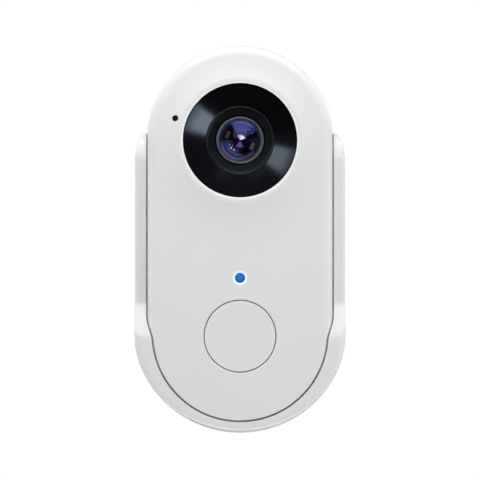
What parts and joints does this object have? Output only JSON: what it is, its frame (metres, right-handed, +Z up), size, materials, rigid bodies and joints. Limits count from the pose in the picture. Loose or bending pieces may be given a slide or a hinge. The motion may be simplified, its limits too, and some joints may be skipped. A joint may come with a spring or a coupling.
{
  "type": "video doorbell",
  "caption": "Upright round-ended battery video doorbell with a recessed camera above a round push button, sitting in a wall cradle.",
  "frame": {"origin": "back face of the sticky foam pad, on the wall, midway between the centres of the body's two round ends", "axes": "+Z up along the body, +Y into the wall, so the camera and button look along -Y; +X to the visitor's right"},
  "size_m": [0.0656, 0.0331, 0.1204],
  "materials": {
    "amber_film": "polyimide film",
    "black_gloss": "polished black moulded plastic",
    "black_plastic": "fine satin black",
    "blue_light": "clear light guide, lit blue",
    "bright_metal": "plain bright steel or plated brass",
    "cell_wrap": "shrink film over a steel can",
    "circuit_board": "solder mask",
    "dark_metal": "black zinc plate",
    "filter_glass": "coated filter glass",
    "foam": "closed cell foam with a sticky face",
    "glass": "coated optical glass",
    "grey_rubber": "matt silicone rubber",
    "white_plastic": "satin light grey moulded plastic",
    "white_rubber": "matt soft plastic"
  },
  "bodies": {
    "cradle": {"cradle": "white_plastic", "mounting_pad": "foam"},
    "doorbell": {"aperture_stop": "black_plastic", "battery_cell_left": "cell_wrap", "battery_cell_right": "cell_wrap", "battery_frame": "black_plastic", "board_screw_1": "dark_metal", "board_screw_2": "dark_metal", "button_membrane": "grey_rubber", "button_switch": "bright_metal", "camera_bezel": "black_gloss", "camera_board": "circuit_board", "camera_ribbon": "amber_film", "camera_screw_1": "dark_metal", "camera_screw_2": "dark_metal", "case_screw_1": "dark_metal", "case_screw_2": "dark_metal", "case_screw_3": "dark_metal", "case_screw_4": "dark_metal", "case_seal": "grey_rubber", "charge_board": "circuit_board", "contact_plate_left": "bright_metal", "contact_plate_right": "bright_metal", "contact_plate_top": "bright_metal", "front_shell": "white_plastic", "image_sensor": "black_plastic", "ir_cut_plate": "bright_metal", "ir_led_1": "glass", "ir_led_2": "glass", "ir_led_3": "glass", "ir_led_4": "glass", "ir_led_board": "circuit_board", "lens_barrel": "black_plastic", "lens_front": "glass", "lens_holder": "black_plastic", "lens_middle": "glass", "lens_rear": "glass", "lens_ring": "bright_metal", "light_pipe": "blue_light", "main_board": "circuit_board", "mic_boot": "grey_rubber", "microphone": "bright_metal", "power_switch": "bright_metal", "rear_cover": "white_plastic", "reset_switch": "bright_metal", "shield_can": "bright_metal", "speaker": "black_plastic", "speaker_gasket": "grey_rubber", "status_led": "white_plastic", "usb_socket": "bright_metal", "wifi_antenna": "amber_film", "wifi_module": "dark_metal"},
    "button": {"button_cap": "white_plastic", "switch_plunger": "black_plastic"},
    "port_cover": {"port_cover": "white_rubber"},
    "switch_knob": {"switch_knob": "black_plastic"},
    "reset_key": {"reset_key": "black_plastic"},
    "ir_filter": {"ir_filter_slide": "black_plastic", "ir_filter_glass": "filter_glass"}
  },
  "joints": [
    {"name": "body_lift", "type": "slide", "parent": "cradle", "child": "doorbell", "axis": [0, 0, 1], "range_m": [0, 0.095]},
    {"name": "button_press", "type": "slide", "parent": "doorbell", "child": "button", "axis": [0, 1, 0], "range_m": [0, 0.0005], "stiffness_N_per_m": 500, "springref_m": -0.0002, "deforming": ["button_membrane"]},
    {"name": "port_cover_hinge", "type": "hinge", "parent": "doorbell", "child": "port_cover", "pos_m": [0, -0.0039, -0.0464], "axis": [1, 0, 0], "range_deg": [0, 95]},
    {"name": "power_switch_slide", "type": "slide", "parent": "doorbell", "child": "switch_knob", "axis": [1, 0, 0], "range_m": [0, 0.002]},
    {"name": "reset_press", "type": "slide", "parent": "doorbell", "child": "reset_key", "axis": [0, -1, 0], "range_m": [0, 0.0004], "stiffness_N_per_m": 400, "springref_m": -0.0002},
    {"name": "ir_filter_shift", "type": "slide", "parent": "doorbell", "child": "ir_filter", "axis": [-1, 0, 0], "range_m": [0, 0.0066]}
  ]
}
